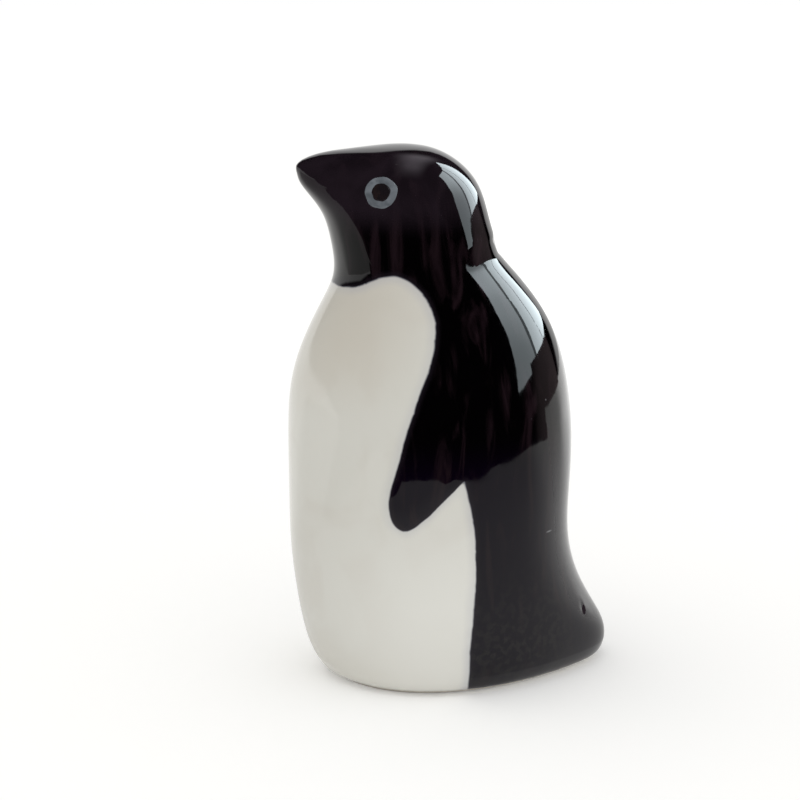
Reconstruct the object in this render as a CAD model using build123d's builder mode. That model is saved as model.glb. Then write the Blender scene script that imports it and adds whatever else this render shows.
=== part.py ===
"""Penguin figurine: a hollow slip-cast porcelain body under a white and a black glaze.

The front faces -Y, the left side faces +X, and the foot stands on Z = 0. The figure is the same on
both sides, so every piece is modelled on its left half and mirrored.
"""
import os
from math import pi, sqrt

from build123d import *

# Overall sizes, in millimetres
height = 80.5
depth = 49.5
width = 36.0

# Cast wall, floor and foot
wall = 3.2
floor_thickness = 4.0
foot_width = 4.0
foot_recess = 0.8
vent_diameter = 3.5

# Glaze and relief
glaze = 0.5
bare_foot = 0.8
flipper_relief = 1.0
flipper_round = 0.4
eye_relief = 0.15
eye_ring_diameter = 4.9
pupil_diameter = 2.8
enamel_clearance = 0.02

# How far a cut runs past what it cuts
overrun = 3.0

# Stations up the figure, from the foot to the bill. Each is a slice from the front line to the back
# line: front depth, front height, back depth, back height, half width, fullness of the front and the
# back quarter, and swell of the flipper.
station_shares = [
    (-.378, .000, .447, .000, .780, .80, .58, 1.00),
    (-.402, .015, .484, .015, .880, .79, .57, 1.00),
    (-.435, .047, .500, .047, .945, .76, .58, 1.00),
    (-.462, .099, .469, .099, .983, .75, .62, 1.00),
    (-.480, .161, .413, .161, 1.00, .74, .67, 1.00),
    (-.496, .248, .371, .248, 1.00, .73, .71, 1.00),
    (-.500, .360, .372, .360, 1.00, .72, .72, .95),
    (-.500, .472, .377, .472, .989, .72, .72, .75),
    (-.486, .571, .359, .571, .933, .72, .72, .48),
    (-.441, .652, .318, .652, .844, .72, .72, .22),
    (-.389, .714, .241, .727, .744, .72, .72, .05),
    (-.355, .764, .163, .789, .667, .72, .72, .00),
    (-.359, .807, .120, .853, .633, .72, .72, .00),
    (-.371, .843, .086, .917, .611, .72, .74, .00),
    (-.389, .874, .015, .969, .567, .72, .77, .00),
    (-.415, .898, -.086, .996, .467, .72, .79, .00),
    (-.441, .918, -.234, .997, .328, .72, .77, .00),
    (-.460, .935, -.357, .990, .200, .72, .72, .00),
    (-.467, .948, -.435, .979, .100, .72, .72, .00),
]
bill_tip_shares = (-.473, .964)

# The hollow runs from the second station up to the head and ends before the bill
hollow_shares = station_shares[1:-3]
hollow_end_shares = station_shares[-3]

# Outlines seen from the side, as shares of the depth and the height
bib_top_shares = [(-.364, .748), (-.291, .760), (-.236, .775), (-.190, .767), (-.139, .733), (-.119, .696)]
bib_side_shares = [(-.093, .571), (-.056, .417), (-.026, .329), (-.024, .199), (-.030, .000)]
flipper_edge_shares = [
    (-.121, .690), (-.136, .636), (-.210, .519), (-.254, .420), (-.268, .358), (-.235, .327),
    (-.180, .347), (-.056, .417), (.110, .468),
]
flipper_shoulder_shares = [(.110, .468), (.215, .520), (.255, .600), (.190, .685), (.040, .738), (-.121, .690)]
eye_place_shares = (-.257, .925)
vent_place_share = .02


def side_point(place):
    """A place seen from the side, given as shares, in millimetres."""
    along_share, up_share = place
    return Vector(0, along_share * depth, up_share * height)


def side_points(places):
    """Sketch points on the side view's plane."""
    return [(along_share * depth, up_share * height) for along_share, up_share in places]


def slice_points(station, inset, relief, front_lead, back_lead):
    """Five points round the left half of one slice, from its front line to its back line.

    The ends move in along the slice until the inset is true to the lines' directions there.
    """
    front_fullness, back_fullness, swell = station[5:]
    front, back = side_point(station[0:2]), side_point(station[2:4])
    along = (back - front).normalized()
    front += along * inset / along.cross(front_lead).length
    back -= along * inset / along.cross(back_lead).length
    middle = (front + back) / 2
    reach = (back - front) / 2
    corner = reach * sqrt(1 / 2)
    across = Vector(station[4] * width / 2 - inset + relief * swell, 0, 0)
    return [
        front,
        middle - corner + across * front_fullness,
        middle + across,
        middle + corner + across * back_fullness,
        back,
    ]


def slice_edge(points):
    """Smooth half outline of a slice, square to the middle plane at both ends."""
    lead = Vector(pi * points[2].X, 0, 0)
    quarters = [step / 4 for step in range(len(points))]
    return Edge.make_spline(points, tangents=[lead, -lead], parameters=quarters, scale=False)


def half_figure(inset=0.0, relief=0.0, stations=station_shares, tip=side_point(bill_tip_shares)):
    """The left half of the figure as a solid, with its whole skin moved in by the inset."""
    fronts = [side_point(station[0:2]) for station in stations]
    backs = [side_point(station[2:4]) for station in stations]
    front_line, back_line = (Edge.make_spline([*ends, tip]) for ends in (fronts, backs))
    slices = [
        slice_points(station, inset, relief, front_line.tangent_at(front), back_line.tangent_at(back))
        for station, front, back in zip(stations, fronts, backs)
    ]
    last_middle = (slices[-1][0] + slices[-1][-1]) / 2
    end = tip + (last_middle - tip).normalized() * inset
    lines = [Edge.make_spline([*line, end]) for line in zip(*slices)]
    skin = Face.make_gordon_surface([*[slice_edge(points) for points in slices], end], lines)
    base_edge, *middle_edges = skin.edges().sort_by(Axis.Z)
    seat = Edge.make_line(base_edge @ 0, base_edge @ 1)
    middle = Face(Wire([*middle_edges, seat]))
    base = Face(Wire([base_edge, seat]))
    return Solid(Shell([skin, middle, base]))


glazed_half = half_figure()
cast_half = half_figure(glaze)
swollen_half = half_figure(relief=flipper_relief)
raised_half = half_figure(-eye_relief)
enamel_seat_half = half_figure(glaze - enamel_clearance)

# Side view of the white bib, open to the front and below the foot
with BuildSketch(Plane.YZ) as bib:
    with BuildLine():
        top = Spline(*side_points(bib_top_shares + bib_side_shares))
        Polyline(top @ 1, top @ 1 - (0, overrun), (-depth, -overrun), (-depth, (top @ 0).Y), top @ 0)
    make_face()

# Side view of a flipper, its edge round the tip and its hidden line over the shoulder
with BuildSketch(Plane.YZ) as flipper_outline:
    with BuildLine():
        Spline(*side_points(flipper_edge_shares))
        Spline(*side_points(flipper_shoulder_shares))
    make_face()

# The eye sits square to the skin at its place on the head
eye_axis = Axis(side_point(eye_place_shares), (1, 0, 0))
eye_point, eye_normal = glazed_half.find_intersection_points(eye_axis)[-1]
eye_plane = Plane(origin=eye_point, x_dir=(0, 1, 0), z_dir=eye_normal)

# Hollow of the casting
with BuildPart() as cavity:
    end_middle = (side_point(hollow_end_shares[0:2]) + side_point(hollow_end_shares[2:4])) / 2
    add(half_figure(glaze + wall, stations=hollow_shares, tip=end_middle))
    split(bisect_by=Plane.XY.offset(floor_thickness), keep=Keep.TOP)

# Unglazed casting with its foot ring and vent
with BuildPart() as cast_body:
    add(cast_half)
    add(cavity.part, mode=Mode.SUBTRACT)
    with BuildSketch(Plane.XY):
        with BuildLine():
            upright = Vector(0, 0, 1)
            foot_edge = slice_edge(slice_points(station_shares[0], glaze + foot_width, 0, upright, upright))
            add(foot_edge)
            Line(foot_edge @ 0, foot_edge @ 1)
        make_face()
    extrude(amount=foot_recess, mode=Mode.SUBTRACT)
    mirror(about=Plane.YZ)
    with Locations((0, vent_place_share * depth, 0)):
        Cylinder(vent_diameter / 2, floor_thickness + overrun, align=(Align.CENTER, Align.CENTER, Align.MIN),
                 mode=Mode.SUBTRACT)
cast_body.part.label = "cast_body"

# Coat of glaze over the casting, down to the bare foot
with BuildPart() as coat:
    add(glazed_half)
    add(cast_half, mode=Mode.SUBTRACT)
    split(bisect_by=Plane.XY.offset(bare_foot), keep=Keep.TOP)
    extrude(flipper_outline.sketch, amount=width, mode=Mode.SUBTRACT)

with BuildPart() as white_glaze:
    add(coat.part)
    extrude(bib.sketch, amount=width, mode=Mode.INTERSECT)
    mirror(about=Plane.YZ)
white_glaze.part.label = "white_glaze"

with BuildPart() as black_glaze:
    add(coat.part)
    extrude(bib.sketch, amount=width, mode=Mode.SUBTRACT)
    with BuildSketch(eye_plane):
        Circle(eye_ring_diameter / 2)
    extrude(amount=overrun, both=True, mode=Mode.SUBTRACT)
    mirror(about=Plane.YZ)
black_glaze.part.label = "black_glaze"

# Flippers lie on the casting and stand proud of the glaze towards their tips
with BuildPart() as left_flipper:
    add(swollen_half)
    add(cast_half, mode=Mode.SUBTRACT)
    extrude(flipper_outline.sketch, amount=width, mode=Mode.INTERSECT)
    outer_face = faces().sort_by(Axis.X)[-1]
    fillet(outer_face.edges().sort_by(SortBy.LENGTH)[-1], flipper_round)
left_flipper.part.label = "left_flipper"

# Raised ring of enamel and dark pupil, let into the black glaze a hair above the casting
with BuildPart() as left_eye_ring:
    add(raised_half)
    add(enamel_seat_half, mode=Mode.SUBTRACT)
    with BuildSketch(eye_plane):
        Circle(eye_ring_diameter / 2)
        Circle(pupil_diameter / 2, mode=Mode.SUBTRACT)
    extrude(amount=overrun, both=True, mode=Mode.INTERSECT)
left_eye_ring.part.label = "left_eye_ring"

with BuildPart() as left_pupil:
    add(glazed_half)
    add(enamel_seat_half, mode=Mode.SUBTRACT)
    with BuildSketch(eye_plane):
        Circle(pupil_diameter / 2)
    extrude(amount=overrun, both=True, mode=Mode.INTERSECT)
left_pupil.part.label = "left_pupil"

os.makedirs("parts", exist_ok=True)
for piece in (cast_body, white_glaze, black_glaze):
    export_step(piece.part, f"parts/{piece.part.label}.step")
for piece in (left_flipper, left_eye_ring, left_pupil):
    with BuildPart() as other_side:
        mirror(piece.part, about=Plane.YZ)
    other_side.part.label = piece.part.label.replace("left", "right")
    for side in (piece, other_side):
        export_step(side.part, f"parts/{side.part.label}.step")
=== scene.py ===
# %% [markdown]
# # A glazed porcelain penguin
#
# The real figurine is a hollow porcelain casting, glazed white on the belly and black everywhere
# else, with low flippers and an enamel ring for each eye. The CAD model gives every piece its true
# place and size. This lesson gives those pieces the looks of fired glaze: soft edges, one
# unbroken gloss, colours that bleed a little into each other, and a quiet studio around them.

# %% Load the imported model
import math

import bmesh
import bpy
from mathutils import Matrix, Vector, noise
from mathutils.bvhtree import BVHTree


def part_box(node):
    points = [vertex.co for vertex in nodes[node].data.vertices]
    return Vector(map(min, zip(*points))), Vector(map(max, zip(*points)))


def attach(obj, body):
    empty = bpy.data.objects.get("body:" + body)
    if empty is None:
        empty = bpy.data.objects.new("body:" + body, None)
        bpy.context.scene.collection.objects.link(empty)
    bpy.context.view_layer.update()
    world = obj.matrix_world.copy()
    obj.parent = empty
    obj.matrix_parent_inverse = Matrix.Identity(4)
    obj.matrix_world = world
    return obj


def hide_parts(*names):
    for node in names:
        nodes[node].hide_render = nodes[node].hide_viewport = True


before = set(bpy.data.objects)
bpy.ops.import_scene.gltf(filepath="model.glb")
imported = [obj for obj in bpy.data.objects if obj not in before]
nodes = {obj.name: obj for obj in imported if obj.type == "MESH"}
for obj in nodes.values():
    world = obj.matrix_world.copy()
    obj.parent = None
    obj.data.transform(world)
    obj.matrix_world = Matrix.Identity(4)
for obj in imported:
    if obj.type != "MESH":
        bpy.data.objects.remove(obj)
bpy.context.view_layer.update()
scene = bpy.context.scene
MM = 0.001
print("pieces in the frame:", sorted(nodes))

# %% [markdown]
# ## One skin of glaze
#
# In the kiln the glaze melts and runs over casting, flippers and eyes as one skin, and it rounds
# every step it covers. Beveling each CAD edge would round them too, but the gloss would still break
# where two pieces meet. So all the solids will be wrapped in one sheet, and this step copies them for
# it. A CAD mesh is loose triangles, so points that lie on each other are merged in the copy.

# %% Copy the solids
SAME_POINT = 0.0001 * MM


def merged_copy(names):
    """Merged copies of the named CAD nodes, in one bmesh."""
    solids = bmesh.new()
    for name in names:
        solids.from_mesh(nodes[name].data)
    bmesh.ops.remove_doubles(solids, verts=solids.verts, dist=SAME_POINT)
    return solids


solids = merged_copy(nodes)
print("merged solids:", len(solids.verts), "points")

# %% [markdown]
# A boolean union would join the solids too, but it would keep every hard corner. A voxel remesh grows
# an even sheet of small quads around everything inside it, and a few rounds of smoothing let that
# sheet settle as the melt does. The vent in the foot is plugged first, or the sheet would creep
# through it into the hollow of the casting.

# %% Wrap the solids in one even sheet
VOXEL = 0.40 * MM
PLUG_RADIUS, PLUG_DEPTH, PLUG_SIDES = 2.5 * MM, 3 * MM, 32
PLUG_PLACE = Vector((0, 1, 2.5)) * MM
MELT_SHARE, FIRST_ROUNDS = 0.5, 4


def add_object(name, shape):
    """A new object from a bmesh, which is used up."""
    mesh = bpy.data.meshes.new(name)
    shape.to_mesh(mesh)
    shape.free()
    made = bpy.data.objects.new(name, mesh)
    scene.collection.objects.link(made)
    return made


def melt(verts, rounds):
    """Rounds of smoothing on some points of the skin."""
    for flow in range(rounds):
        bmesh.ops.smooth_vert(skin, verts=verts, factor=MELT_SHARE,
                              use_axis_x=True, use_axis_y=True, use_axis_z=True)
    skin.normal_update()


bmesh.ops.create_cone(solids, cap_ends=True, segments=PLUG_SIDES, radius1=PLUG_RADIUS, radius2=PLUG_RADIUS,
                      depth=PLUG_DEPTH, matrix=Matrix.Translation(PLUG_PLACE))
wrapped = add_object("wrapped", solids)
sheet = wrapped.modifiers.new("even_sheet", "REMESH")
sheet.mode = "VOXEL"
sheet.voxel_size = VOXEL
skin = bmesh.new()
skin.from_mesh(wrapped.evaluated_get(bpy.context.evaluated_depsgraph_get()).to_mesh())
bpy.data.objects.remove(wrapped)
bmesh.ops.recalc_face_normals(skin, faces=skin.faces)
melt(skin.verts, FIRST_ROUNDS)
print("skin:", len(skin.verts), "points,", len(skin.faces), "quads")

# %% [markdown]
# The next steps have to know where the flippers and the black glaze lie on the skin. Outlines could be
# drawn again, but a distance serves better: its zero is the line to cut along, and it fades a colour on
# both sides of that line. Each point keeps how far it lies inside a coat, which is its distance from
# the other coats less its distance from that one.

# %% Measure the way into the flippers and into the black
FLIPPERS = ["left_flipper", "right_flipper"]
EYES = ["left_eye_ring", "right_eye_ring", "left_pupil", "right_pupil"]
EVEN_ROUNDS = 2


def tree_of(names):
    """A search tree over merged copies of CAD nodes."""
    solids = merged_copy(names)
    tree = BVHTree.FromBMesh(solids)
    solids.free()
    return tree


def measure(layer_name, outside_names, inside_names):
    """Distance into the inside nodes, in millimetres, kept on each point of the skin."""
    layer = skin.verts.layers.float.new(layer_name)
    outside, inside = tree_of(outside_names), tree_of(inside_names)
    for vert in skin.verts:
        vert[layer] = (outside.find_nearest(vert.co)[3] - inside.find_nearest(vert.co)[3]) / MM
    for even in range(EVEN_ROUNDS):
        means = [sum(edge.other_vert(vert)[layer] for edge in vert.link_edges) / len(vert.link_edges)
                 for vert in skin.verts]
        for vert, mean in zip(skin.verts, means):
            vert[layer] = (vert[layer] + mean) / 2
    return layer


into_flipper = measure("into_flipper", ["white_glaze", "black_glaze"], FLIPPERS)
into_dark = measure("into_dark", ["white_glaze"], ["black_glaze", *FLIPPERS, *EYES])
print("deepest in the black:", round(max(vert[into_dark] for vert in skin.verts), 1), "mm")

# %% [markdown]
# ## Low flippers
#
# Under so much glaze the flippers are hardly more than a swell, and the gloss runs over them almost
# without a break. Scaling a flipper down would shrink its outline as well. But the casting lies one
# coat below the skin, so whatever stands higher than that coat is flipper, and only that height is
# pressed back: about a quarter of it in front, where the tip shows, and all of it behind the notch,
# where the flipper runs out into the back. The fold along the edge then melts.

# %% Sink the flippers to a low swell
COAT = 0.5
FLIPPER_EDGE = (-0.8, 0.4)
NOTCH = (-6.2, -2.8)
FRONT_PRESS = 0.26
FOLD_REACH, FOLD_ROUNDS = 3.0, 30


def eased(value, low, high):
    """0 below a range, 1 above it, and smooth between."""
    share = min(max((value - low) / (high - low), 0), 1)
    return share * share * (3 - 2 * share)


casting = tree_of(["cast_body"])
for vert in skin.verts:
    share = eased(vert[into_flipper], *FLIPPER_EDGE)
    if share > 0:
        proud = casting.find_nearest(vert.co)[3] / MM - COAT
        press = FRONT_PRESS + (1 - FRONT_PRESS) * eased(vert.co.y / MM, *NOTCH)
        vert.co -= vert.normal * max(proud, 0) * press * share * MM
fold = [vert for vert in skin.verts if abs(vert[into_flipper]) < FOLD_REACH]
melt(fold, FOLD_ROUNDS)
print("flippers sunk,", len(fold), "points folded")

# %% [markdown]
# CAD meshes are made of small flat facets, and a mirror-like glaze shows every one. Smoothing them away
# would also shrink the figure. So the skin is smoothed, the loss is smoothed the same way, and the
# smooth loss is given back: the facets go and the form stays. The sharp bill and the foot are held.

# %% Settle the skin without shrinking it
SETTLE_ROUNDS = 40
BILL_TIP = Vector((0, -23.4, 77.6)) * MM
FOOT_HOLD, BILL_HOLD = (1, 4), (2.5, 7)
start = [vert.co.copy() for vert in skin.verts]
melt(skin.verts, SETTLE_ROUNDS)
flowed = [vert.co.copy() for vert in skin.verts]
for vert, before, after in zip(skin.verts, start, flowed):
    vert.co = before - after
melt(skin.verts, SETTLE_ROUNDS)
for vert, before, after in zip(skin.verts, start, flowed):
    free = min(eased(before.z / MM, *FOOT_HOLD), eased((before - BILL_TIP).length / MM, *BILL_HOLD))
    vert.co = before.lerp(after + vert.co, free)
skin.normal_update()
moved = max((vert.co - before).length for vert, before in zip(skin.verts, start))
print("settled, moved at most", round(moved / MM, 2), "mm")

# %% [markdown]
# Where the neck meets the back, the mould left a shallow crease, which is easy to miss until the gloss
# breaks there. A groove cut with a tool would have hard edges, so the skin is pressed in by a curve of
# its height over the crease. The crease is deepest behind and fades out towards the throat, and on the
# sides of the neck the skin rolls out a little above it.

# %% Press in the crease of the neck
CREASE_HEIGHT, CREASE_SLOPE = 62.8, 0.2
CREASE_DEPTH, DEEPER_BEHIND, BEHIND = 0.35, 0.15, (0.0, 3.0)
NECK_ROLL, ROLL_START, ROLL_LENGTH = 0.2, 3.2, 7.5
FADE_BELOW = 5
FADE_FORWARD = (-4.0, 1.0)
NECK_HEIGHTS, NECK_ROUNDS = (61, 70), 2


def pressed(above, along):
    """How far the skin is pressed in, in millimetres, at a height over the crease."""
    backward = eased(along, *BEHIND)
    roll = NECK_ROLL * (1 - backward)
    deep = CREASE_DEPTH + DEEPER_BEHIND * backward
    if above > ROLL_START:
        return -roll * (1 + math.cos(math.pi * min((above - ROLL_START) / ROLL_LENGTH, 1))) / 2
    if above > 0:
        return deep - (deep + roll) * above / ROLL_START
    return deep * max(1 + above / FADE_BELOW, 0) ** 2


for vert in skin.verts:
    along, up = vert.co.y / MM, vert.co.z / MM
    above = up - (CREASE_HEIGHT + CREASE_SLOPE * along)
    vert.co -= vert.normal * pressed(above, along) * eased(along, *FADE_FORWARD) * MM
neck = [vert for vert in skin.verts if NECK_HEIGHTS[0] < vert.co.z / MM < NECK_HEIGHTS[1]]
melt(neck, NECK_ROUNDS)
print("neck creased at about", CREASE_HEIGHT, "mm,", len(neck), "points melted")

# %% [markdown]
# The foot stays bare so that the piece doesn't stick to the kiln shelf. The CAD coats end at that
# line. A boolean could cut the skin there too, but a bisecting plane is exact, leaves clean edges and
# clears everything below in the same step.

# %% Clear the foot
glaze_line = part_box("white_glaze")[0].z
bmesh.ops.bisect_plane(skin, geom=[*skin.verts, *skin.edges, *skin.faces], plane_co=(0, 0, glaze_line),
                       plane_no=(0, 0, 1), clear_inner=True)
print("bare foot below", round(glaze_line / MM, 2), "mm")

# %% [markdown]
# Near the tail a bubble burst in the melt and left a pinhole. A dark spot of colour would look painted
# on, while a dent catches the light. It is hardly larger than the quads of the skin, so those around it
# are subdivided first, and then the fine points sink along their normals.

# %% Dent the pinhole
PINHOLE = Vector((8.7, 18.9, 10.0)) * MM
PINHOLE_RADIUS, PINHOLE_DEPTH, PINHOLE_STRETCH = 0.62, 0.15, 0.75
FINE_REACH, FINE_CUTS, DENT_REACH = 1.6, 3, 2
close = [edge for edge in skin.edges
         if all((vert.co - PINHOLE).length < FINE_REACH * MM for vert in edge.verts)]
bmesh.ops.subdivide_edges(skin, edges=close, cuts=FINE_CUTS, use_grid_fill=True)
skin.normal_update()
for vert in skin.verts:
    offset = (vert.co - PINHOLE) / MM
    if offset.length < DENT_REACH:
        offset.z *= PINHOLE_STRETCH
        vert.co -= vert.normal * PINHOLE_DEPTH * MM * math.exp(-(offset.length / PINHOLE_RADIUS) ** 2)
print("pinhole among", len(close), "subdivided edges")

# %% [markdown]
# ## Where one glaze meets the next
#
# The black was brushed up to a line around the belly by hand, so the line wavers by a tenth of a
# millimetre or so. Moving the points of a drawn line would leave the colour behind. Noise added to the
# distance into the black moves both, the cut and the soft edge of the colour. The flippers take a
# little of the black around them, so that the wavering line stays on one piece.

# %% Let the painted line waver
WAVERS = ((0.16, 3.2), (0.06, 1.1))
FLIPPER_MARGIN = 0.3
for vert in skin.verts:
    vert[into_dark] += sum(sway * noise.noise(vert.co / (length * MM)) for sway, length in WAVERS)
    vert[into_flipper] += FLIPPER_MARGIN
print("line wavers by at most", round(sum(sway for sway, length in WAVERS), 2), "mm")

# %% [markdown]
# The coats are separate pieces, so the skin is cut where a distance is zero. Choosing whole faces would
# leave a line of small steps. So every mesh edge that crosses the line is split at the crossing, and the
# new points are joined across the faces. Points that nearly lie on the line count as on it, which
# leaves no slivers.

# %% Cut the skin along both lines
ON_LINE = 0.05


def cut_at_zero(layer):
    """Splits the faces of the skin along the zero line of a distance."""
    for vert in skin.verts:
        if abs(vert[layer]) < ON_LINE:
            vert[layer] = 0
    for edge in list(skin.edges):
        near, far = edge.verts
        if near[layer] * far[layer] < 0:
            share = near[layer] / (near[layer] - far[layer])
            bmesh.utils.edge_split(edge, near, share)[1][layer] = 0
    bmesh.ops.connect_verts(skin, verts=[vert for vert in skin.verts if vert[layer] == 0])


cut_at_zero(into_dark)
cut_at_zero(into_flipper)
print("cut skin:", len(skin.faces), "faces")

# %% [markdown]
# A coat of glaze is a thin shell. Each piece keeps its own faces of the skin. Extruding them by hand
# would do for the wall, but a Solidify modifier keeps its thickness in one value, works inwards and
# leaves the outside where it is. The cut edges are marked sharp, so the gloss runs straight over them
# instead of bending into the rim.

# %% Make the coats and the flippers
COAT_WALL = 0.42 * MM


def inside(face, layer):
    """Whether a face lies on the inner side of a line."""
    return sum(vert[layer] for vert in face.verts) > 0


def is_back(face):
    """Whether a face is black, but not on a flipper."""
    return inside(face, into_dark) and not inside(face, into_flipper)


def is_flipper(face, side):
    """Whether a face is on the flipper of one side, 1 for the left and -1 for the right."""
    return inside(face, into_dark) and inside(face, into_flipper) and face.calc_center_median().x * side > 0


def with_wall(made, name, thickness):
    """A finished piece with its wall inwards, riding on the figure."""
    wall = made.modifiers.new(name, "SOLIDIFY")
    wall.thickness = thickness
    wall.offset = -1
    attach(made, "root")
    return made


def coat(name, keep):
    """A closed piece of the skin: the faces to keep, with their wall."""
    skin.faces.index_update()
    unwanted = {face.index for face in skin.faces if not keep(face)}
    shell = skin.copy()
    bmesh.ops.delete(shell, geom=[face for face in shell.faces if face.index in unwanted], context="FACES")
    for face in shell.faces:
        face.smooth = True
    for edge in shell.edges:
        edge.smooth = not edge.is_boundary
    made = with_wall(add_object(name, shell), "coat", COAT_WALL)
    print(name, len(made.data.polygons), "faces on the outside")
    return made


white_coat = coat("white_glaze_coat", lambda face: not inside(face, into_dark))
black_coat = coat("black_glaze_coat", is_back)
left_flipper = coat("left_flipper_relief", lambda face: is_flipper(face, 1))
right_flipper = coat("right_flipper_relief", lambda face: is_flipper(face, -1))
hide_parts("white_glaze")
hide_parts("black_glaze")
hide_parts("left_flipper")
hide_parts("right_flipper")

# %% [markdown]
# ## The eyes
#
# Each eye is a ring of blue-grey enamel, laid on with a brush in one turn, around a drop of dark
# glaze. The enamel stands a little proud and its edge wavers with the hand. Flat rings would float
# over the curved head, so each starts as a circle that is extruded inwards into rows. A small last
# row is closed with a face, which makes a drop of it.

# %% Extrude a circle into rows
EYE_SIDES = 72
CLOSED_BELOW = 0.3


def rows_inwards(disc, radii):
    """The rows of points of a circle extruded inwards, from radius to radius in millimetres."""
    bmesh.ops.create_circle(disc, segments=EYE_SIDES, radius=radii[0] * MM)
    rim = list(disc.edges)
    rows = [list(disc.verts)]
    for radius in radii[1:]:
        grown = bmesh.ops.extrude_edge_only(disc, edges=rim)["geom"]
        rim = [part for part in grown if isinstance(part, bmesh.types.BMEdge) and part.is_boundary]
        rim = [edge for edge in rim if all(vert in grown for vert in edge.verts)]
        rows.append([part for part in grown if isinstance(part, bmesh.types.BMVert)])
        previous = rows[-2][0].co.length
        bmesh.ops.scale(disc, vec=Vector((1, 1, 0)) * radius * MM / previous, verts=rows[-1])
    if radii[-1] < CLOSED_BELOW:
        bmesh.ops.contextual_create(disc, geom=rim)
    return rows


print("circles of", EYE_SIDES, "points")

# %% [markdown]
# Then every row is let down onto the skin, like a ring of paint: each point is cast against the head
# and lands there, and the row's own height raises it. Shrinkwrap would lay the rows on the skin too,
# but at one height for all of them, and the brush stroke is thickest in its middle.

# %% Lay the enamel and the pupils
ENAMEL_WALL = 0.12 * MM
CAST_HEIGHT = 2 * MM
HAND_SWAYS = 2.0
RING_RADII = (2.34, 2.27, 2.08, 1.82, 1.56, 1.34, 1.26)
RING_RISES, RING_WAVER = (-0.02, 0.02, 0.05, 0.06, 0.05, 0.02, -0.02), 0.12
DROP_RADII = (1.32, 1.22, 1.0, 0.75, 0.5, 0.2)
DROP_RISES, DROP_WAVER = (-0.02, 0.02, 0.05, 0.07, 0.08, 0.08), 0.05
skin_tree = BVHTree.FromBMesh(skin)


def laid_disc(name, node, radii, rises, waver):
    """Rows of points round the eye, let down onto the skin and raised by each row's own height."""
    low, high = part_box(node)
    spot, facing, _, _ = skin_tree.find_nearest((low + high) / 2)
    to_eye = Matrix.Translation(spot) @ facing.to_track_quat("Z", "Y").to_matrix().to_4x4()
    disc = bmesh.new()
    for row, rise in zip(rows_inwards(disc, radii), rises):
        for vert in row:
            outward = vert.co.normalized()
            sway = noise.noise(outward * HAND_SWAYS + Vector((0, 0, radii[0]))) * waver * MM
            place = to_eye @ (vert.co + outward * sway)
            landed = skin_tree.ray_cast(place + facing * CAST_HEIGHT, -facing)
            vert.co = landed[0] + landed[1] * rise * MM
    bmesh.ops.recalc_face_normals(disc, faces=disc.faces)
    if disc.faces[0].normal.dot(facing) < 0:
        bmesh.ops.reverse_faces(disc, faces=disc.faces)
    for face in disc.faces:
        face.smooth = True
    return with_wall(add_object(name, disc), "enamel", ENAMEL_WALL)


eye_rings, pupils = [], []
for side in ("left", "right"):
    ring = laid_disc(side + "_eye_enamel", side + "_eye_ring", RING_RADII, RING_RISES, RING_WAVER)
    pupil = laid_disc(side + "_pupil_drop", side + "_pupil", DROP_RADII, DROP_RISES, DROP_WAVER)
    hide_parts(side + "_eye_ring")
    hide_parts(side + "_pupil")
    eye_rings.append(ring)
    pupils.append(pupil)
skin.free()
print("eyes:", [made.name for made in eye_rings + pupils])

# %% [markdown]
# ## Glaze as a material
#
# A glaze is glass over clay. Its colour sits below a clear, smooth surface, so the shader is a plain
# dielectric with a low roughness. Its node tree could be drawn by hand in the editor. In a script a few
# helpers keep it short: they add a node, carry a value from one range to another, mix two colours, and
# lay one tone over the next.

# %% Helpers for node trees
def add(tree, kind, inputs=None, **settings):
    """A node with its settings, its inputs given as values or as sockets to link."""
    made = tree.nodes.new("ShaderNode" + kind)
    for key, value in settings.items():
        setattr(made, key, value)
    for key, value in (inputs or {}).items():
        if isinstance(value, bpy.types.NodeSocket):
            tree.links.new(value, made.inputs[key])
        else:
            made.inputs[key].default_value = value
    return made


def math_of(tree, operation, *values):
    """The result of a Math node."""
    return add(tree, "Math", dict(enumerate(values)), operation=operation).outputs[0]


def times(tree, first, second):
    """Two values multiplied, such as two masks."""
    return math_of(tree, "MULTIPLY", first, second)


def vector_of(tree, operation, *values):
    """The result of a Vector Math node, which is a vector or a value."""
    made = add(tree, "VectorMath", dict(enumerate(values)), operation=operation)
    return next(item for item in made.outputs if item.enabled)


def ranged(tree, value, low, high, to_low=0.0, to_high=1.0):
    """A value carried smoothly from one range to another."""
    return add(tree, "MapRange", {"Value": value, "From Min": low, "From Max": high, "To Min": to_low,
                                  "To Max": to_high}, interpolation_type="SMOOTHSTEP").outputs["Result"]


def mixed(tree, share, first, second):
    """A colour between two colours."""
    made = add(tree, "Mix", {"Factor": share}, data_type="RGBA")
    for key, colour in (("A", first), ("B", second)):
        socket = next(item for item in made.inputs if item.name == key and item.type == "RGBA")
        if isinstance(colour, bpy.types.NodeSocket):
            tree.links.new(colour, socket)
        else:
            socket.default_value = (*colour, 1)
    return next(item for item in made.outputs if item.type == "RGBA")


def layered(tree, colour, *layers):
    """A colour with further tones laid over it, each by its own mask."""
    for mask, tone in layers:
        colour = mixed(tree, mask, colour, tone)
    return colour


print("node helpers:", [helper.__name__ for helper in (math_of, times, vector_of, ranged, mixed, layered)])

# %% [markdown]
# What makes a glaze look fired is small: the surface ripples a little and the colour clouds. A picture
# would need unwrapping and would show its seams, while noise in the object's own space fits every piece.
# The effects belong to more than one material, so each is a node group, built once. A group puts out
# masks and heights only, and each material decides what to do with them.

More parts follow.
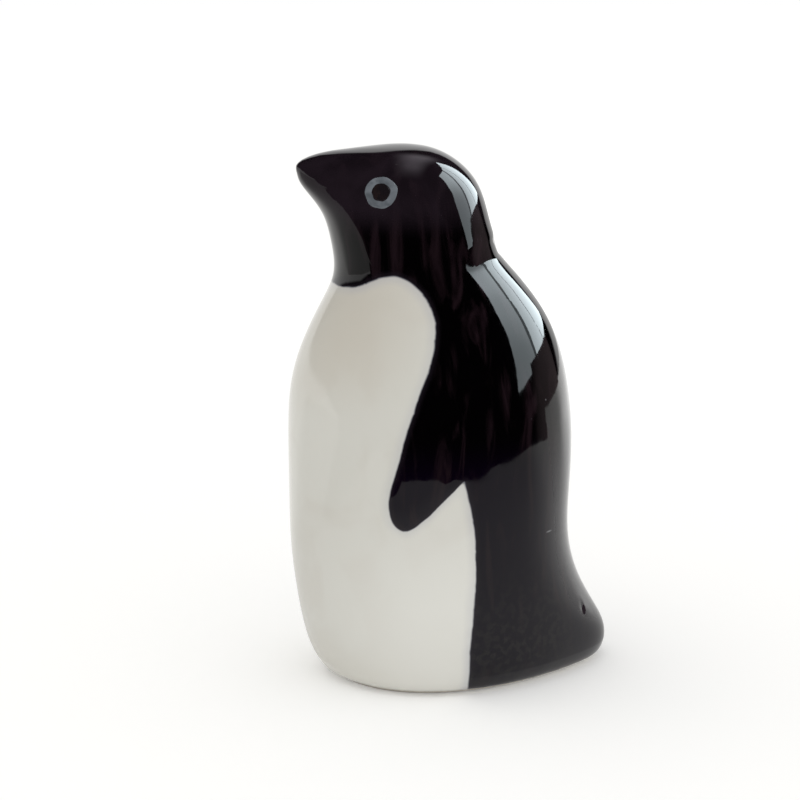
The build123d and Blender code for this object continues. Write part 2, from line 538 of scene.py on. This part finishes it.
# %% Ripple and clouds, shared by the glazes
def group(name, ins, outs):
    """An empty node group with named sockets: its tree, the sockets that enter and those that leave."""
    tree = bpy.data.node_groups.new(name, "ShaderNodeTree")
    for label, kind in ins:
        tree.interface.new_socket(label, in_out="INPUT", socket_type="NodeSocket" + kind)
    for label, kind in outs:
        tree.interface.new_socket(label, in_out="OUTPUT", socket_type="NodeSocket" + kind)
    return tree, tree.nodes.new("NodeGroupInput").outputs, tree.nodes.new("NodeGroupOutput").inputs


def noise_on(tree, place, scale, detail, twist=0.0):
    """Noise over the surface, from 0 to 1."""
    return add(tree, "TexNoise", {"Vector": place, "Scale": scale, "Detail": detail,
                                  "Distortion": twist}).outputs["Fac"]


QUICK_SHARE = 0.12
ripple, enter, leave = group("glaze_ripple", [("Place", "Vector")], [("Height", "Float"), ("Satin", "Float")])
slow = noise_on(ripple, enter["Place"], 150.0, 1.0)
quick = noise_on(ripple, enter["Place"], 620.0, 2.0)
ripple.links.new(math_of(ripple, "MULTIPLY_ADD", quick, QUICK_SHARE, slow), leave["Height"])
ripple.links.new(quick, leave["Satin"])

CLOUD_SPAN = (0.35, 0.7)
clouds, enter, leave = group("glaze_clouds", [("Place", "Vector"), ("Scale", "Float")], [("Mask", "Float")])
drift = noise_on(clouds, enter["Place"], enter["Scale"], 3.0, twist=0.6)
clouds.links.new(ranged(clouds, drift, *CLOUD_SPAN), leave["Mask"])
print("groups:", ripple.name, "and", clouds.name)

# %% [markdown]
# A few bubbles leave freckles in any glaze, and years on a shelf leave scuffs. The freckles come from
# Voronoi cells: each cell draws a lot, and a cell that wins gets a spot at its centre, so thousands of
# them need no list. The scuffs have their own places, so each is a small ellipsoid of colour round a
# point, and where two overlap the stronger one counts.

# %% Freckles and scuffs
pinholes, enter, leave = group(
    "glaze_pinholes", [("Place", "Vector"), ("Size", "Float"), ("Rarity", "Float")], [("Mask", "Float")])
cells = add(pinholes, "TexVoronoi", {"Vector": enter["Place"], "Scale": 260.0}).outputs
lot = add(pinholes, "SeparateColor", {"Color": cells["Color"]}).outputs["Red"]
chosen = math_of(pinholes, "GREATER_THAN", lot, enter["Rarity"])
spot = ranged(pinholes, cells["Distance"], enter["Size"], 0.0)
pinholes.links.new(times(pinholes, spot, chosen), leave["Mask"])

DASH, DOT = (1.0, 1.0, 0.2), (0.22, 0.22, 0.22)
SCUFFS = (((13.0, 11.8, 23.5), DASH), ((17.3, -8.5, 40.6), DOT),
          ((15.2, 8.3, 41.3), DOT), ((13.1, 11.1, 43.6), DOT))
SCUFF_EDGE = (1.0, 0.3)
scuffs, enter, leave = group("glaze_scuffs", [("Place", "Vector")], [("Mask", "Float")])
mask = 0.0
for centre, size in SCUFFS:
    offset = vector_of(scuffs, "SUBTRACT", enter["Place"], Vector(centre) * MM)
    away = vector_of(scuffs, "LENGTH", vector_of(scuffs, "DIVIDE", offset, Vector(size) * MM))
    mask = math_of(scuffs, "MAXIMUM", ranged(scuffs, away, *SCUFF_EDGE), mask)
scuffs.links.new(mask, leave["Mask"])
print("groups:", pinholes.name, "and", scuffs.name, "with", len(SCUFFS), "scuffs")

# %% [markdown]
# Every glaze here starts in the same way: a Principled shader whose roughness follows the ripple within
# a narrow range of satin, and a refraction a little below window glass. On the two coats the ripple is
# also a bump of a few hundredths of a millimetre, too shallow to be worth real faces. One function makes
# that start, so the glazes differ only where they should.

# %% Start of every glaze
SATIN_SPAN = (0.3, 0.7)


def shader(name):
    """A new material with its tree and its Principled shader."""
    material = bpy.data.materials.new(name)
    material.use_nodes = True
    return material, material.node_tree, material.node_tree.nodes["Principled BSDF"]


def places_on(tree):
    """Object coordinates, which lie still on a piece."""
    return add(tree, "TexCoord").outputs["Object"]


def placed(tree, effect, **inputs):
    """A node group placed in a tree."""
    return add(tree, "Group", inputs, node_tree=effect).outputs


def partly(tree, mask, low, high):
    """A mask carried from the full range to a part of it."""
    return ranged(tree, mask, 0.0, 1.0, low, high)


def glaze(name, satin, refraction):
    """A glassy material with its tree, its shader, the places on its piece and the ripple's height."""
    material, tree, glass = shader(name)
    place = places_on(tree)
    waves = placed(tree, ripple, Place=place)
    tree.links.new(ranged(tree, waves["Satin"], *SATIN_SPAN, *satin), glass.inputs["Roughness"])
    glass.inputs["IOR"].default_value = refraction
    return material, tree, glass, place, waves["Height"]


def bumped(tree, glass, height, strength, depth):
    """Bends the shader's normal by a height, over a depth in millimetres."""
    bump = add(tree, "Bump", {"Height": height, "Strength": strength, "Distance": depth * MM})
    tree.links.new(bump.outputs["Normal"], glass.inputs["Normal"])


print("glazes can share:", [effect.name for effect in (ripple, clouds, pinholes, scuffs)])

# %% [markdown]
# The white glaze is warm and slightly clouded. Near the black line it takes a lavender bloom, and just
# at the line it darkens as the two melts mix. Lower down, a trace of the clay's beige shows through.
# The breast faces up, where less light falls, and is painted browner and darker as painted shade. The
# hip, low by the black, is painted paler as painted light. A painted picture could hold all that, but
# distances from a place, and from the line, follow the form all round.

# %% White glaze
WARM_WHITE, CLOUDED_WHITE = (0.665, 0.657, 0.608), (0.625, 0.605, 0.552)
CLAY_TINGE, CLAY_HEIGHTS = (0.66, 0.63, 0.55), (10 * MM, 0.0)
PALE_FRECKLE = (0.36, 0.32, 0.27)
# The browner breast is painted shade, and the paler hip is painted light.
SHADED_BREAST, SHADED_BREAST_REACH = Vector((10.5, -19.5, 57)) * MM, (18 * MM, 2 * MM)
LIT_HIP, LIT_HIP_REACH = Vector((17, -4, 9)) * MM, (26 * MM, 4 * MM)
BREAST_PAINTED_SHADE, HIP_PAINTED_LIGHT = (0.55, 0.51, 0.44), (0.78, 0.775, 0.73)
BLOOM, BLOOM_REACH = (0.40, 0.41, 0.47), (-1.7, 0.1)
INK, MELT_LINE = (0.004, 0.003, 0.004), (-0.22, 0.18)
COAT_BUMP = (0.5, 0.03)
white, tree, glass, place, waves = glaze("fired_white", satin=(0.07, 0.11), refraction=1.45)
line = add(tree, "Attribute", attribute_name="into_dark").outputs["Fac"]
up = add(tree, "SeparateXYZ", {"Vector": place}).outputs["Z"]
to_shaded_breast, to_lit_hip = (vector_of(tree, "DISTANCE", place, spot) for spot in (SHADED_BREAST, LIT_HIP))
cloudy = placed(tree, clouds, Place=place, Scale=90.0)["Mask"]
freckles = placed(tree, pinholes, Place=place, Size=0.045, Rarity=0.9)["Mask"]
bloom = times(tree, ranged(tree, line, *BLOOM_REACH, 0.0, 0.42), partly(tree, cloudy, 0.6, 1.0))
colour = layered(tree, WARM_WHITE,
                 (partly(tree, cloudy, 0.0, 0.6), CLOUDED_WHITE),
                 (ranged(tree, up, *CLAY_HEIGHTS, 0.0, 0.4), CLAY_TINGE),
                 (partly(tree, freckles, 0.0, 0.45), PALE_FRECKLE),
                 # painted shade on the breast, then painted light on the hip
                 (ranged(tree, to_shaded_breast, *SHADED_BREAST_REACH, 0.0, 0.65), BREAST_PAINTED_SHADE),
                 (ranged(tree, to_lit_hip, *LIT_HIP_REACH, 0.0, 0.8), HIP_PAINTED_LIGHT),
                 (bloom, BLOOM),
                 (ranged(tree, line, *MELT_LINE), INK))
tree.links.new(colour, glass.inputs["Base Color"])
bumped(tree, glass, waves, *COAT_BUMP)
white_coat.data.materials.append(white)
print(white.name, "on", white_coat.name)

# %% [markdown]
# The black glaze is nearly pure black, a little cooler lower down. The brush left faint purplish
# streaks, which are noise stretched along the height: real grooves would catch far too much light. On
# top of the head a patchy purple-brown tinge is laid in: partly a thinner coat, and partly painted
# reflection of the dim ceiling. By the foot, short of the tail, the glaze pooled and set with a fine
# mottle in height, and in colour partly as painted sheen of that rippled surface. At its edge the coat
# thins out, so it starts from the same mixed tone that the white ends in.

# %% Black glaze
JET, COOL_JET, COOL_HEIGHTS = (0.0006, 0.0004, 0.0006), (0.0022, 0.0006, 0.0042), (40 * MM, 32 * MM)
STREAK, STREAK_SPAN, ALONG_BRUSH = (0.0110, 0.0060, 0.0082), (0.5, 0.74), (1.0, 1.0, 0.16)
# The head's purple-brown tinge is partly painted reflection of the dim ceiling over the head.
HEAD_TINGE_AND_HAZE, HEAD_HEIGHTS = (0.0138, 0.0092, 0.0132), (67.5 * MM, 72.5 * MM)
# The colour mottle by the foot is partly painted sheen of the rippled glaze, over its real bump.
MOTTLE_AND_SHEEN, MOTTLE_SPAN = (0.0095, 0.0080, 0.0092), (0.46, 0.60)
FOOT_HEIGHTS, TAIL_DEPTHS = (24 * MM, 4 * MM), (19 * MM, 12 * MM)
DARK_FRECKLE, SCUFF = (0.16, 0.15, 0.15), (0.13, 0.13, 0.14)
THIN_EDGE, THIN_REACH = (0.012, 0.009, 0.013), (1.0, 0.0)
black, tree, glass, place, waves = glaze("fired_black", satin=(0.03, 0.06), refraction=1.40)
line = add(tree, "Attribute", attribute_name="into_dark").outputs["Fac"]
parts = add(tree, "SeparateXYZ", {"Vector": place}).outputs
drawn = add(tree, "Mapping", {"Vector": place, "Scale": ALONG_BRUSH}).outputs["Vector"]
brushed = noise_on(tree, drawn, 330.0, 4.0, twist=1.3)
patchy = partly(tree, placed(tree, clouds, Place=place, Scale=110.0)["Mask"], 0.55, 1.0)
head = times(tree, ranged(tree, parts["Z"], *HEAD_HEIGHTS), patchy)
peel = noise_on(tree, place, 1000.0, 3.0)
by_foot = times(tree, ranged(tree, parts["Z"], *FOOT_HEIGHTS), ranged(tree, parts["Y"], *TAIL_DEPTHS))
freckles = placed(tree, pinholes, Place=place, Size=0.05, Rarity=0.93)["Mask"]
colour = layered(tree, JET,
                 (ranged(tree, parts["Z"], *COOL_HEIGHTS), COOL_JET),
                 (ranged(tree, brushed, *STREAK_SPAN), STREAK),
                 # the top of the head: a thin coat's tinge and painted reflection of the ceiling
                 (head, HEAD_TINGE_AND_HAZE),
                 # mottle by the foot, partly painted sheen
                 (times(tree, ranged(tree, peel, *MOTTLE_SPAN), by_foot), MOTTLE_AND_SHEEN),
                 (partly(tree, freckles, 0.0, 0.7), DARK_FRECKLE),
                 (placed(tree, scuffs, Place=place)["Mask"], SCUFF),
                 (ranged(tree, line, *THIN_REACH, 0.0, 0.6), THIN_EDGE))
tree.links.new(mixed(tree, ranged(tree, line, *MELT_LINE), BLOOM, colour), glass.inputs["Base Color"])
bumped(tree, glass, math_of(tree, "MULTIPLY_ADD", peel, by_foot, waves), *COAT_BUMP)
black_pieces = (black_coat, left_flipper, right_flipper)
for made in black_pieces:
    made.data.materials.append(black)
print(black.name, "on", [made.name for made in black_pieces])

# %% [markdown]
# The eye enamel is thicker in places, so its blue-grey clouds from pale to dark round the ring. The
# pupil is a drop of dark brown glaze. Both are glassy but a little softer than the black around them.
# A single tone would look printed, so each is a pair of tones mixed by the clouds. The recipe is the
# same for both, so a loop makes them.

# %% Eye enamel and pupil
EYE_REFRACTION = 1.43
PALE_RING, DARK_RING, RING_SATIN = (0.155, 0.172, 0.195), (0.088, 0.10, 0.115), (0.16, 0.26)
DARK_DROP, BROWN_DROP, DROP_SATIN = (0.0095, 0.0072, 0.0088), (0.0160, 0.0100, 0.0105), (0.05, 0.09)
for name, satin, scale, first, second, pieces in (
        ("ring_enamel", RING_SATIN, 520.0, PALE_RING, DARK_RING, eye_rings),
        ("dark_drop", DROP_SATIN, 700.0, DARK_DROP, BROWN_DROP, pupils)):
    enamel, tree, glass, place, waves = glaze(name, satin, EYE_REFRACTION)
    cloudy = placed(tree, clouds, Place=place, Scale=scale)["Mask"]
    tree.links.new(mixed(tree, cloudy, first, second), glass.inputs["Base Color"])
    for made in pieces:
        made.data.materials.append(enamel)
    print(enamel.name, "on", [made.name for made in pieces])

# %% [markdown]
# The casting shows only at the bare foot and inside the vent. Fired porcelain without glaze is a
# matt, faintly warm white with a fine grain, and here it turns darker, with the grain, towards the
# bottom edge of the foot. The grain is far finer than a mesh could hold, so it is a bump and a change
# of roughness.

# %% Bare porcelain
FIRED_CLAY, CLOUDED_CLAY = (0.70, 0.665, 0.60), (0.63, 0.585, 0.51)
# Darker towards the bottom edge of the foot, where it stands on the sheet, following the grain.
DARKER_BY_BOTTOM, DARKER_BY_BOTTOM_HEIGHTS = (0.30, 0.27, 0.23), (0.6 * MM, 0.0)
GRAIN_SPAN, CLAY_ROUGHNESS, GRAIN_BUMP = (0.3, 0.7), (0.68, 0.85), (0.4, 0.02)
bisque, tree, clay = shader("bare_porcelain")
place = places_on(tree)
grain = noise_on(tree, place, 2600.0, 4.0)
up = add(tree, "SeparateXYZ", {"Vector": place}).outputs["Z"]
colour = layered(tree, FIRED_CLAY,
                 (placed(tree, clouds, Place=place, Scale=140.0)["Mask"], CLOUDED_CLAY),
                 (times(tree, ranged(tree, up, *DARKER_BY_BOTTOM_HEIGHTS, 0.0, 0.45), grain), DARKER_BY_BOTTOM))
tree.links.new(colour, clay.inputs["Base Color"])
tree.links.new(ranged(tree, grain, *GRAIN_SPAN, *CLAY_ROUGHNESS), clay.inputs["Roughness"])
bumped(tree, clay, grain, *GRAIN_BUMP)
nodes["cast_body"].material_slots[0].material = bisque
print(bisque.name, "on the casting")

# %% [markdown]
# ## The studio
#
# The figurine stands on a white sheet in front of a white background. A white floor in plain light
# comes out a light grey in the picture, and more light would bleach the figure. So to the camera, and
# in gloss and glass, the paper glows a little on top of the light that it gets. The shadow stays, and
# the glow itself lights nothing.

# %% White sheet
SHEET_RADIUS, SHEET_SIDES = 4.0, 128
PAPER, PAPER_GLOW = (0.93, 0.93, 0.925), 0.17
PURE_WHITE = (1, 1, 1)


def empty_tree(owner):
    """The node tree of a material or a world, emptied."""
    owner.use_nodes = True
    owner.node_tree.nodes.clear()
    return owner.node_tree


def bare_material(name):
    """A new material with an empty tree."""
    material = bpy.data.materials.new(name)
    return material, empty_tree(material)


def looked_at(tree):
    """1 for rays that look: from the camera, or onwards in gloss or glass."""
    rays = add(tree, "LightPath").outputs
    seen = math_of(tree, "MAXIMUM", rays["Is Camera Ray"], rays["Is Glossy Ray"])
    return math_of(tree, "MAXIMUM", seen, rays["Is Transmission Ray"])


def shining(tree, colour, strength):
    """A surface that gives light of its own."""
    return add(tree, "Emission", {"Color": (*colour, 1), "Strength": strength}).outputs[0]


disc = bmesh.new()
bmesh.ops.create_circle(disc, cap_ends=True, segments=SHEET_SIDES, radius=SHEET_RADIUS)
floor = add_object("white_sheet", disc)
paper, tree = bare_material("white_paper")
lit = add(tree, "BsdfDiffuse", {"Color": (*PAPER, 1)}).outputs[0]
glow = shining(tree, PURE_WHITE, times(tree, looked_at(tree), PAPER_GLOW))
add(tree, "OutputMaterial", {"Surface": add(tree, "AddShader", {0: lit, 1: glow}).outputs[0]})
floor.data.materials.append(paper)
print("sheet of", SHEET_RADIUS, "m radius")

# %% [markdown]
# A black glaze shows whatever faces it, so the room is built for its gloss: a dark surround on the
# camera's side, a table that ends in the dark, and one tall window behind. Real walls would shade the
# figure as well, so these pieces are seen only in the gloss: they throw no shadow and light nothing.
# Directions round the figure are easier to think of than coordinates, so a few helpers put cards where
# the figure would see them.

# %% Helpers for the room
CAMERA_SIDE, CAMERA_RIGHT = 75, 165
EYE_LEVEL = 0.05
OVER_SHEET = 0.002


def toward(azimuth, elevation=0):
    """The direction of a place round the figure; azimuth 0 is in front of it and 90 on its left."""
    turn, lift = math.radians(azimuth), math.radians(elevation)
    return Vector((math.sin(turn) * math.cos(lift), -math.cos(turn) * math.cos(lift), math.sin(lift)))


def quad(shape, corners):
    """A flat card from four corners."""
    shape.faces.new([shape.verts.new(corner) for corner in corners])


def card(azimuths, lifts, reach):
    """Corners of an upright card between two azimuths and two elevations, seen from the figure."""
    return [toward(azimuth) * reach + Vector((0, 0, EYE_LEVEL + reach * math.tan(math.radians(lift))))
            for azimuth, lift in ((azimuths[0], lifts[0]), (azimuths[1], lifts[0]),
                                  (azimuths[1], lifts[1]), (azimuths[0], lifts[1]))]


def on_table(out, aside, rise=OVER_SHEET):
    """A place just over the sheet, so far towards the camera and so far to its right."""
    return toward(CAMERA_SIDE) * out + toward(CAMERA_RIGHT) * aside + Vector((0, 0, rise))


def turned(tree, way, azimuth):
    """How far a way leads towards an azimuth; for a direction, 1 straight to it and 0 across."""
    return vector_of(tree, "DOT_PRODUCT", way, toward(azimuth))


def seen_by_gloss_only(made, *materials):
    """Dresses a piece of the room and hides it from everything but the gloss."""
    for material in materials:
        made.data.materials.append(material)
    made.visible_camera = made.visible_diffuse = made.visible_shadow = made.visible_transmission = False


print("the camera looks from", [round(part, 2) for part in toward(CAMERA_SIDE)])

# %% [markdown]
# The surround is a dome. Four walls would show their corners in the gloss, but a profile of a few points
# spun round the figure has none. A card hangs over the window and ends its light.

# %% Dark surround
DOME = ((1.5, 0), (1.5, 0.8), (1.2, 1.4), (0.7, 1.75), (0.02, 1.9))
DOME_STEPS = 96
LINTEL_SIDES, LINTEL_LIFTS, LINTEL_REACH = (150, 222), (50, 62), 1.02
dome = bmesh.new()
profile = [dome.verts.new(toward(0) * reach + Vector((0, 0, rise))) for reach, rise in DOME]
ribs = [dome.edges.new(pair) for pair in zip(profile, profile[1:])]
bmesh.ops.spin(dome, geom=profile + ribs, cent=(0, 0, 0), axis=(0, 0, 1), angle=math.tau,
               steps=DOME_STEPS, use_merge=True)
quad(dome, card(LINTEL_SIDES, LINTEL_LIFTS, LINTEL_REACH))
surround = add_object("dark_surround", dome)
print("surround of", len(surround.data.polygons), "faces")

# %% [markdown]
# Its felt is black, apart from a dim strip along the ceiling, which lies on the black glaze as a faint
# haze. On the far side the dome opens to the white background. The opening could be cut into the mesh,
# but its edge has to be soft, so the felt turns clear there. How high it opens changes with the
# azimuth, and a colour ramp holds that curve.

# %% Felt with a ceiling light and an opening
STRIP_MIDDLE, STRIP_FADE, STRIP_ENDS = 0.18, (0.24, 0.02), ((0.6, 0.0), (-0.75, -0.5))
STRIP_LIGHT, STRIP_TONE = 1.15, (0.98, 0.9, 1.0)
OPENINGS = ((-160, 0), (-150, 0.12), (-138, 0.35), (-98, 0.78), (-85, 0.7),
            (-54, 0.30), (-39, 0.27), (-6, 0.24), (6, 0.12), (14, 0))
OPENING_EDGE = (-0.06, -0.14)
felt, tree = bare_material("dark_felt")
way = vector_of(tree, "NORMALIZE", places_on(tree))
off_middle = math_of(tree, "SUBTRACT", turned(tree, way, CAMERA_RIGHT), STRIP_MIDDLE)
strip = ranged(tree, math_of(tree, "ABSOLUTE", off_middle), *STRIP_FADE, 0.0, STRIP_LIGHT)
for ends in STRIP_ENDS:
    strip = times(tree, strip, ranged(tree, turned(tree, way, CAMERA_SIDE), *ends))
parts = add(tree, "SeparateXYZ", {"Vector": way}).outputs
azimuth = math_of(tree, "ARCTAN2", parts["X"], times(tree, parts["Y"], -1.0))
share = add(tree, "MapRange", {"Value": azimuth, "From Min": -math.pi, "From Max": math.pi}).outputs["Result"]
sweep = add(tree, "ValToRGB", {"Fac": share})
stops = sweep.color_ramp.elements
for degrees, height in OPENINGS:
    stops.new((degrees + 180) / 360).color = (height, height, height, 1)
stops.remove(stops[-1])
stops.remove(stops[0])
over = math_of(tree, "SUBTRACT", parts["Z"], sweep.outputs["Color"])
haze = shining(tree, STRIP_TONE, strip)
clear = add(tree, "BsdfTransparent").outputs[0]
opened = add(tree, "MixShader", {0: ranged(tree, over, *OPENING_EDGE), 1: haze, 2: clear}).outputs[0]
add(tree, "OutputMaterial", {"Surface": opened})
seen_by_gloss_only(surround, felt)
print(felt.name, "opens at", len(OPENINGS), "azimuths")

# %% [markdown]
# On the camera's side the white sheet ends and a dark table goes on, and the black glaze mirrors that
# edge. A straight table would give a straight edge there, so the sheet's edge is a line of points, in
# millimetres. It is extruded, and the new edge is scaled far outwards. Two cards close the table towards
# the bill. An upright one is the wall below the window, where a little brown light falls.

# %% Dark table
SHEET_EDGE = ((265, -119), (207, 2), (185, 27), (150, 52), (111, 62), (113, 110),
              (111, 140), (73, 189), (46, 223), (5, 244), (-40, 248))
TABLE_GROWTH = 18
BILL_SIDES = (((0.02, -0.115), (1.2, -1.46), (2.5, -0.9), (0.265, -0.119)),
              ((0.14, -0.268), (0.75, -1.45), (1.2, -1.46), (0.3, -0.4)))
WALL_SIDES, WALL_LIFTS, WALL_REACH = (158, 204), (-2.8, 9), 1.01
WALL_MIDDLE, WALL_FADE, WALL_LIGHT, WALL_TONE = 185, (0.89, 0.98), 0.26, (1.0, 0.78, 0.82)
DARK_CLOTH = (0.002, 0.002, 0.002)
table = bmesh.new()
corners = [table.verts.new(on_table(out * MM, aside * MM)) for out, aside in SHEET_EDGE]
edges = [table.edges.new(pair) for pair in zip(corners, corners[1:])]
grown = bmesh.ops.extrude_edge_only(table, edges=edges)["geom"]
bmesh.ops.scale(table, vec=(TABLE_GROWTH, TABLE_GROWTH, 1),
                verts=[part for part in grown if isinstance(part, bmesh.types.BMVert)])
for corners in BILL_SIDES:
    quad(table, [on_table(*corner) for corner in corners])
quad(table, card(WALL_SIDES, WALL_LIFTS, WALL_REACH))
dark_table = add_object("dark_table", table)

cloth, tree, matt = shader("dark_cloth")
to_wall = turned(tree, vector_of(tree, "NORMALIZE", places_on(tree)), WALL_MIDDLE)
tree.links.new(ranged(tree, to_wall, *WALL_FADE, 0.0, WALL_LIGHT), matt.inputs["Emission Strength"])
matt.inputs["Emission Color"].default_value = (*WALL_TONE, 1)
matt.inputs["Base Color"].default_value = (*DARK_CLOTH, 1)
matt.inputs["Specular IOR Level"].default_value = 0.0
seen_by_gloss_only(dark_table, cloth)
print("table of", len(dark_table.data.polygons), "faces")

# %% [markdown]
# The sheet isn't equally bright all over in the gloss. On the camera's side it falls into shade with the
# distance from the figure. A lamp can't darken, so a thin card lies over the sheet, partly dark and
# partly clear, and its darkness fades in from nothing.

# %% Falling shade on the sheet
SHADE_CORNERS, SHADE_RISE = ((-0.4, -1.5), (-0.4, 1.5), (0.3, 1.5), (0.3, -1.5)), 0.003
SHADE_SIDE, SHADE_START = 60, (-0.06, 0.01)
SHADE_REACH, SHADE_DEPTH = (0.0, 0.14), (0.2, 0.5)
shape = bmesh.new()
quad(shape, [on_table(*corner, SHADE_RISE) for corner in SHADE_CORNERS])
falling_shade = add_object("falling_shade", shape)
shade, tree = bare_material("falling_shade")
place = places_on(tree)
darker = ranged(tree, vector_of(tree, "LENGTH", place), *SHADE_REACH, *SHADE_DEPTH)
falling = times(tree, darker, ranged(tree, turned(tree, place, SHADE_SIDE), *SHADE_START))
clear = add(tree, "BsdfTransparent").outputs[0]
dark = add(tree, "BsdfDiffuse", {"Color": (*DARK_CLOTH, 1)}).outputs[0]
shaded = add(tree, "MixShader", {0: falling, 1: clear, 2: dark}).outputs[0]
add(tree, "OutputMaterial", {"Surface": shaded})
seen_by_gloss_only(falling_shade, shade)
print(falling_shade.name, "over", SHADE_REACH[1], "m of the sheet")

# %% [markdown]
# Behind the figure the window falls on the sheet and makes it brighter. A lamp would light the figure
# too, so a clear card lies there that only adds light of its own to what is seen through it. The light
# fades in with the distance and with the direction, so no edge of the card shows.

# %% Lit part of the sheet
LIGHT_CORNERS, LIGHT_RISE = ((-0.03, 1.0), (-0.03, 0.03), (-1.2, 0.03), (-1.2, 1.0)), 0.004
LIGHT_SIDE, LIGHT_FADE = 225, (0.85, 0.955)
LIGHT_REACH, LIGHT_STRENGTH = (0.05, 0.28), (0.0, 1.2)
shape = bmesh.new()
quad(shape, [on_table(*corner, LIGHT_RISE) for corner in LIGHT_CORNERS])
lit_sheet = add_object("lit_sheet", shape)
lit_paper, tree = bare_material("lit_paper")
place = places_on(tree)
behind = ranged(tree, turned(tree, vector_of(tree, "NORMALIZE", place), LIGHT_SIDE), *LIGHT_FADE)
brighter = ranged(tree, vector_of(tree, "LENGTH", place), *LIGHT_REACH, *LIGHT_STRENGTH)
glow = shining(tree, PURE_WHITE, times(tree, behind, brighter))
clear = add(tree, "BsdfTransparent").outputs[0]
add(tree, "OutputMaterial", {"Surface": add(tree, "AddShader", {0: glow, 1: clear}).outputs[0]})
seen_by_gloss_only(lit_sheet, lit_paper)
print(lit_sheet.name, "towards azimuth", LIGHT_SIDE)

# %% [markdown]
# The tall window is the bright shape on the back. One card with a picture of a window would do, but its
# panes lean in the gloss, so each is a quad with its own left and right edge, given at the sill and at
# the top. The narrow second one is the frame, far dimmer than the sky. Daylight gets brighter upwards,
# so each pane is an emission that rises with the height.

# %% Tall window
PANES = (((147, 157), (173, 186), (4.5, 7), (3.4, 8.5)),
         ((173, 186), (177, 191), (7, 7.5), (1.0, 1.6)),
         ((177, 191), (197, 201), (7.5, 8.5), (8.0, 9.5)),
         ((197.8, 201.8), (218, 218), (8.5, 9.5), (8.5, 10.0)))
WINDOW_TOP, WINDOW_REACH = 50, 1.0
DAYLIGHT, DAYLIGHT_HEIGHTS = (0.84, 0.95, 1.0), (0.2, 0.9)
panes = bmesh.new()
skies = []
for number, (lefts, rights, sills, lights) in enumerate(PANES):
    left, right = (card(azimuths, (sill, WINDOW_TOP), WINDOW_REACH)
                   for azimuths, sill in zip((lefts, rights), sills))
    quad(panes, [left[0], right[0], right[2], left[2]])
    panes.faces.ensure_lookup_table()
    panes.faces[-1].material_index = number
    sky, tree = bare_material("daylight")
    rise = add(tree, "SeparateXYZ", {"Vector": places_on(tree)}).outputs["Z"]
    light = shining(tree, DAYLIGHT, ranged(tree, rise, *DAYLIGHT_HEIGHTS, *lights))
    add(tree, "OutputMaterial", {"Surface": light})
    skies.append(sky)
window = add_object("tall_window", panes)
seen_by_gloss_only(window, *skies)
print("window of", len(window.data.polygons), "panes")

# %% [markdown]
# Soft light from all around shows the colours plainly. The background is pure white only to rays that
# look at it, and the light that falls on the figure stays a little below that. One weak lamp, low on the
# tail's side, lifts the shaded flank as a reflector card would. Its own shape on the gloss would give it
# away, so it is hidden there.

# %% Soft light from all around
AMBIENT, AMBIENT_TONE = 0.92, (1.0, 0.995, 0.98)
FILL_POWER, FILL_SIZE = 0.52, (0.7, 0.4)
FILL_WAY, FILL_REACH = toward(122, 7), 0.75
studio = bpy.data.worlds.new("studio")
scene.world = studio
tree = empty_tree(studio)
ambient = add(tree, "Background", {"Color": (*AMBIENT_TONE, 1), "Strength": AMBIENT}).outputs[0]
backdrop = add(tree, "Background", {"Color": (*PURE_WHITE, 1), "Strength": 1.0}).outputs[0]
seen = add(tree, "MixShader", {0: looked_at(tree), 1: ambient, 2: backdrop}).outputs[0]
add(tree, "OutputWorld", {"Surface": seen})

fill = bpy.data.lights.new("low_fill", "AREA")
fill.shape = "RECTANGLE"
fill.size, fill.size_y = FILL_SIZE
fill.energy = FILL_POWER
lamp = bpy.data.objects.new("low_fill", fill)
scene.collection.objects.link(lamp)
lamp.location = FILL_WAY * FILL_REACH
lamp.rotation_euler = (-FILL_WAY).to_track_quat("-Z", "Y").to_euler()
lamp.visible_glossy = lamp.visible_camera = False
print("light:", AMBIENT, "all around and a fill of", FILL_POWER, "W")

# %% [markdown]
# ## The camera
#
# The photograph looks at the left side, turned a little towards the front and from slightly above. A
# long lens keeps the perspective mild. The figure stands right of the middle of the picture. Turning
# the camera would move it over too, but it would also slant its upright lines, so the lens is shifted.

# %% Camera
PICTURE_PIXELS, FOCAL_PIXELS, SHIFT_PIXELS = 800, 2175, (-46, 10)
SENSOR = 36
AIM, DISTANCE = Vector((0, -0.65, 40)) * MM, 330 * MM
CAMERA_LIFT, NEAREST = 12, 0.01
lens = bpy.data.cameras.new("camera")
camera = bpy.data.objects.new("camera", lens)
scene.collection.objects.link(camera)
scene.camera = camera
back = toward(CAMERA_SIDE, CAMERA_LIFT)
camera.location = AIM + back * DISTANCE
camera.rotation_euler = (-back).to_track_quat("-Z", "Y").to_euler()
lens.sensor_width = SENSOR
lens.lens = SENSOR * FOCAL_PIXELS / PICTURE_PIXELS
lens.shift_x, lens.shift_y = (pixels / PICTURE_PIXELS for pixels in SHIFT_PIXELS)
lens.clip_start = NEAREST
scene.view_settings.view_transform = "Standard"
print("lens of", round(lens.lens, 1), "mm")
